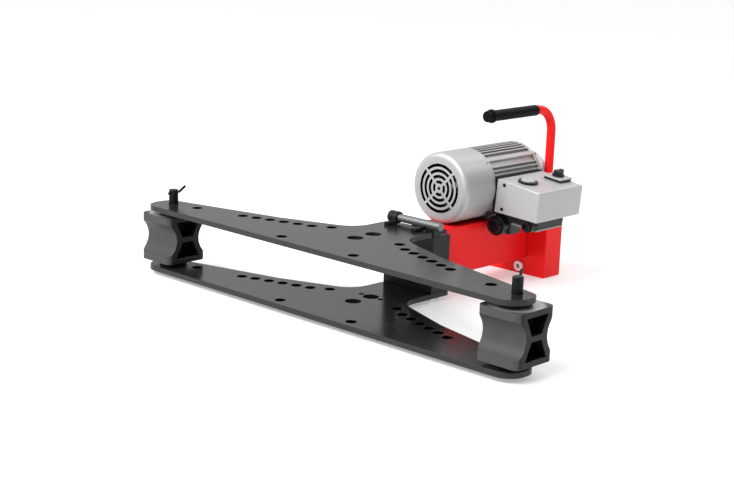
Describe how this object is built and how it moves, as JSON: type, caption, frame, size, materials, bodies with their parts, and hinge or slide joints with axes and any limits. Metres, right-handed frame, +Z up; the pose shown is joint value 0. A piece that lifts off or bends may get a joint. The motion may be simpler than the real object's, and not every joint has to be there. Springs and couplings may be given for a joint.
{
  "type": "hydraulic pipe bender",
  "caption": "Electro-hydraulic pipe bender: long twin wing plates with pinned swivel supports, a hydraulic ram, red oil reservoir, finned motor with switch box and carrying handle",
  "frame": {"origin": "on the floor, at the middle of the footprint", "axes": "+X along the wings, +Y along the ram back to the pump, +Z up"},
  "size_m": [1.108, 0.75, 0.417],
  "materials": {
    "plate_black": "semi-gloss black paint",
    "frame_black": "black paint",
    "cast_grey": "dark grey cast surface",
    "pin_steel": "blackened steel",
    "bright_steel": "bright zinc and ground steel",
    "dark_steel": "oiled dark steel",
    "bronze": "bearing bronze",
    "copper_winding": "varnished copper wire",
    "seal_rubber": "black seal rubber",
    "red_paint": "gloss red paint",
    "motor_grey": "silver-grey painted aluminium",
    "pump_grey": "dark grey paint",
    "box_grey": "light grey paint",
    "cap_grey": "dark grey moulded plastic",
    "black_plastic": "black moulded plastic",
    "grip_rubber": "black rubber grip"
  },
  "bodies": {
    "frame": {"lower_wing_plate": "plate_black", "upper_wing_plate": "plate_black", "tip_feet": "frame_black", "support_washers": "frame_black", "cylinder_block": "frame_black", "block_bolts": "bright_steel", "hinge_lugs": "frame_black", "hinge_ears": "frame_black", "hinge_rod": "dark_steel", "front_flange": "frame_black", "flange_screws": "bright_steel", "oil_port_plug": "bright_steel", "cylinder_tube": "dark_steel", "gland_bush": "bronze", "rod_wiper": "seal_rubber", "reservoir_housing": "red_paint", "rear_tank": "red_paint", "tank_lid": "red_paint", "drain_plug": "bright_steel", "breather_cap": "black_plastic", "motor_cradle": "pump_grey", "motor_body": "motor_grey", "stator_core": "dark_steel", "stator_windings": "copper_winding", "fan_end_shield": "motor_grey", "fan_end_bearing": "bright_steel", "drive_end_shield": "motor_grey", "drive_end_bearing": "bright_steel", "fan_cowl": "motor_grey", "pump_body": "pump_grey", "pump_plunger": "bright_steel", "terminal_gasket": "seal_rubber", "terminal_box": "box_grey", "terminal_screws": "black_plastic", "capacitor_box": "cap_grey", "capacitor_tray": "box_grey", "inlet_gland": "black_plastic", "cable_gland": "black_plastic", "button_bezel": "black_plastic", "switch_base": "black_plastic", "switch_plate": "box_grey", "handle_socket": "red_paint", "handle_tube": "red_paint", "handle_grip": "grip_rubber"},
    "ram": {"ram_rod": "bright_steel", "piston": "dark_steel", "piston_seal": "seal_rubber"},
    "left_support_body": {"left_support": "cast_grey"},
    "right_support_body": {"right_support": "cast_grey"},
    "left_pin_body": {"left_pin": "pin_steel", "left_pin_bar": "pin_steel"},
    "right_pin_body": {"right_pin": "pin_steel", "right_pin_bar": "pin_steel"},
    "rotor": {"motor_shaft": "bright_steel", "rotor_core": "dark_steel", "cooling_fan": "black_plastic", "pump_eccentric": "bright_steel"},
    "selector": {"selector_knob": "black_plastic"},
    "button": {"start_button": "box_grey"}
  },
  "joints": [
    {"name": "ram_slide", "type": "slide", "parent": "frame", "child": "ram", "axis": [0, -1, 0], "range_m": [0, 0.25]},
    {"name": "left_support_turn", "type": "hinge", "parent": "frame", "child": "left_support_body", "pos_m": [-0.502, -0.318, 0.086], "axis": [0, 0, 1], "continuous": true},
    {"name": "right_support_turn", "type": "hinge", "parent": "frame", "child": "right_support_body", "pos_m": [0.502, -0.318, 0.086], "axis": [0, 0, 1], "continuous": true},
    {"name": "left_pin_pull", "type": "slide", "parent": "frame", "child": "left_pin_body", "axis": [0, 0, 1], "range_m": [0, 0.16]},
    {"name": "right_pin_pull", "type": "slide", "parent": "frame", "child": "right_pin_body", "axis": [0, 0, 1], "range_m": [0, 0.16]},
    {"name": "rotor_spin", "type": "hinge", "parent": "frame", "child": "rotor", "pos_m": [0, 0.212, 0.2365], "axis": [0, 1, 0], "continuous": true},
    {"name": "selector_turn", "type": "hinge", "parent": "frame", "child": "selector", "pos_m": [0.1487, 0.27374, 0.25179], "axis": [0.1207, 0, 0.9927], "range_deg": [-45, 45]},
    {"name": "button_press", "type": "slide", "parent": "frame", "child": "button", "axis": [-0.1207, 0, -0.9927], "range_m": [0, 0.003], "stiffness_N_per_m": 600}
  ]
}
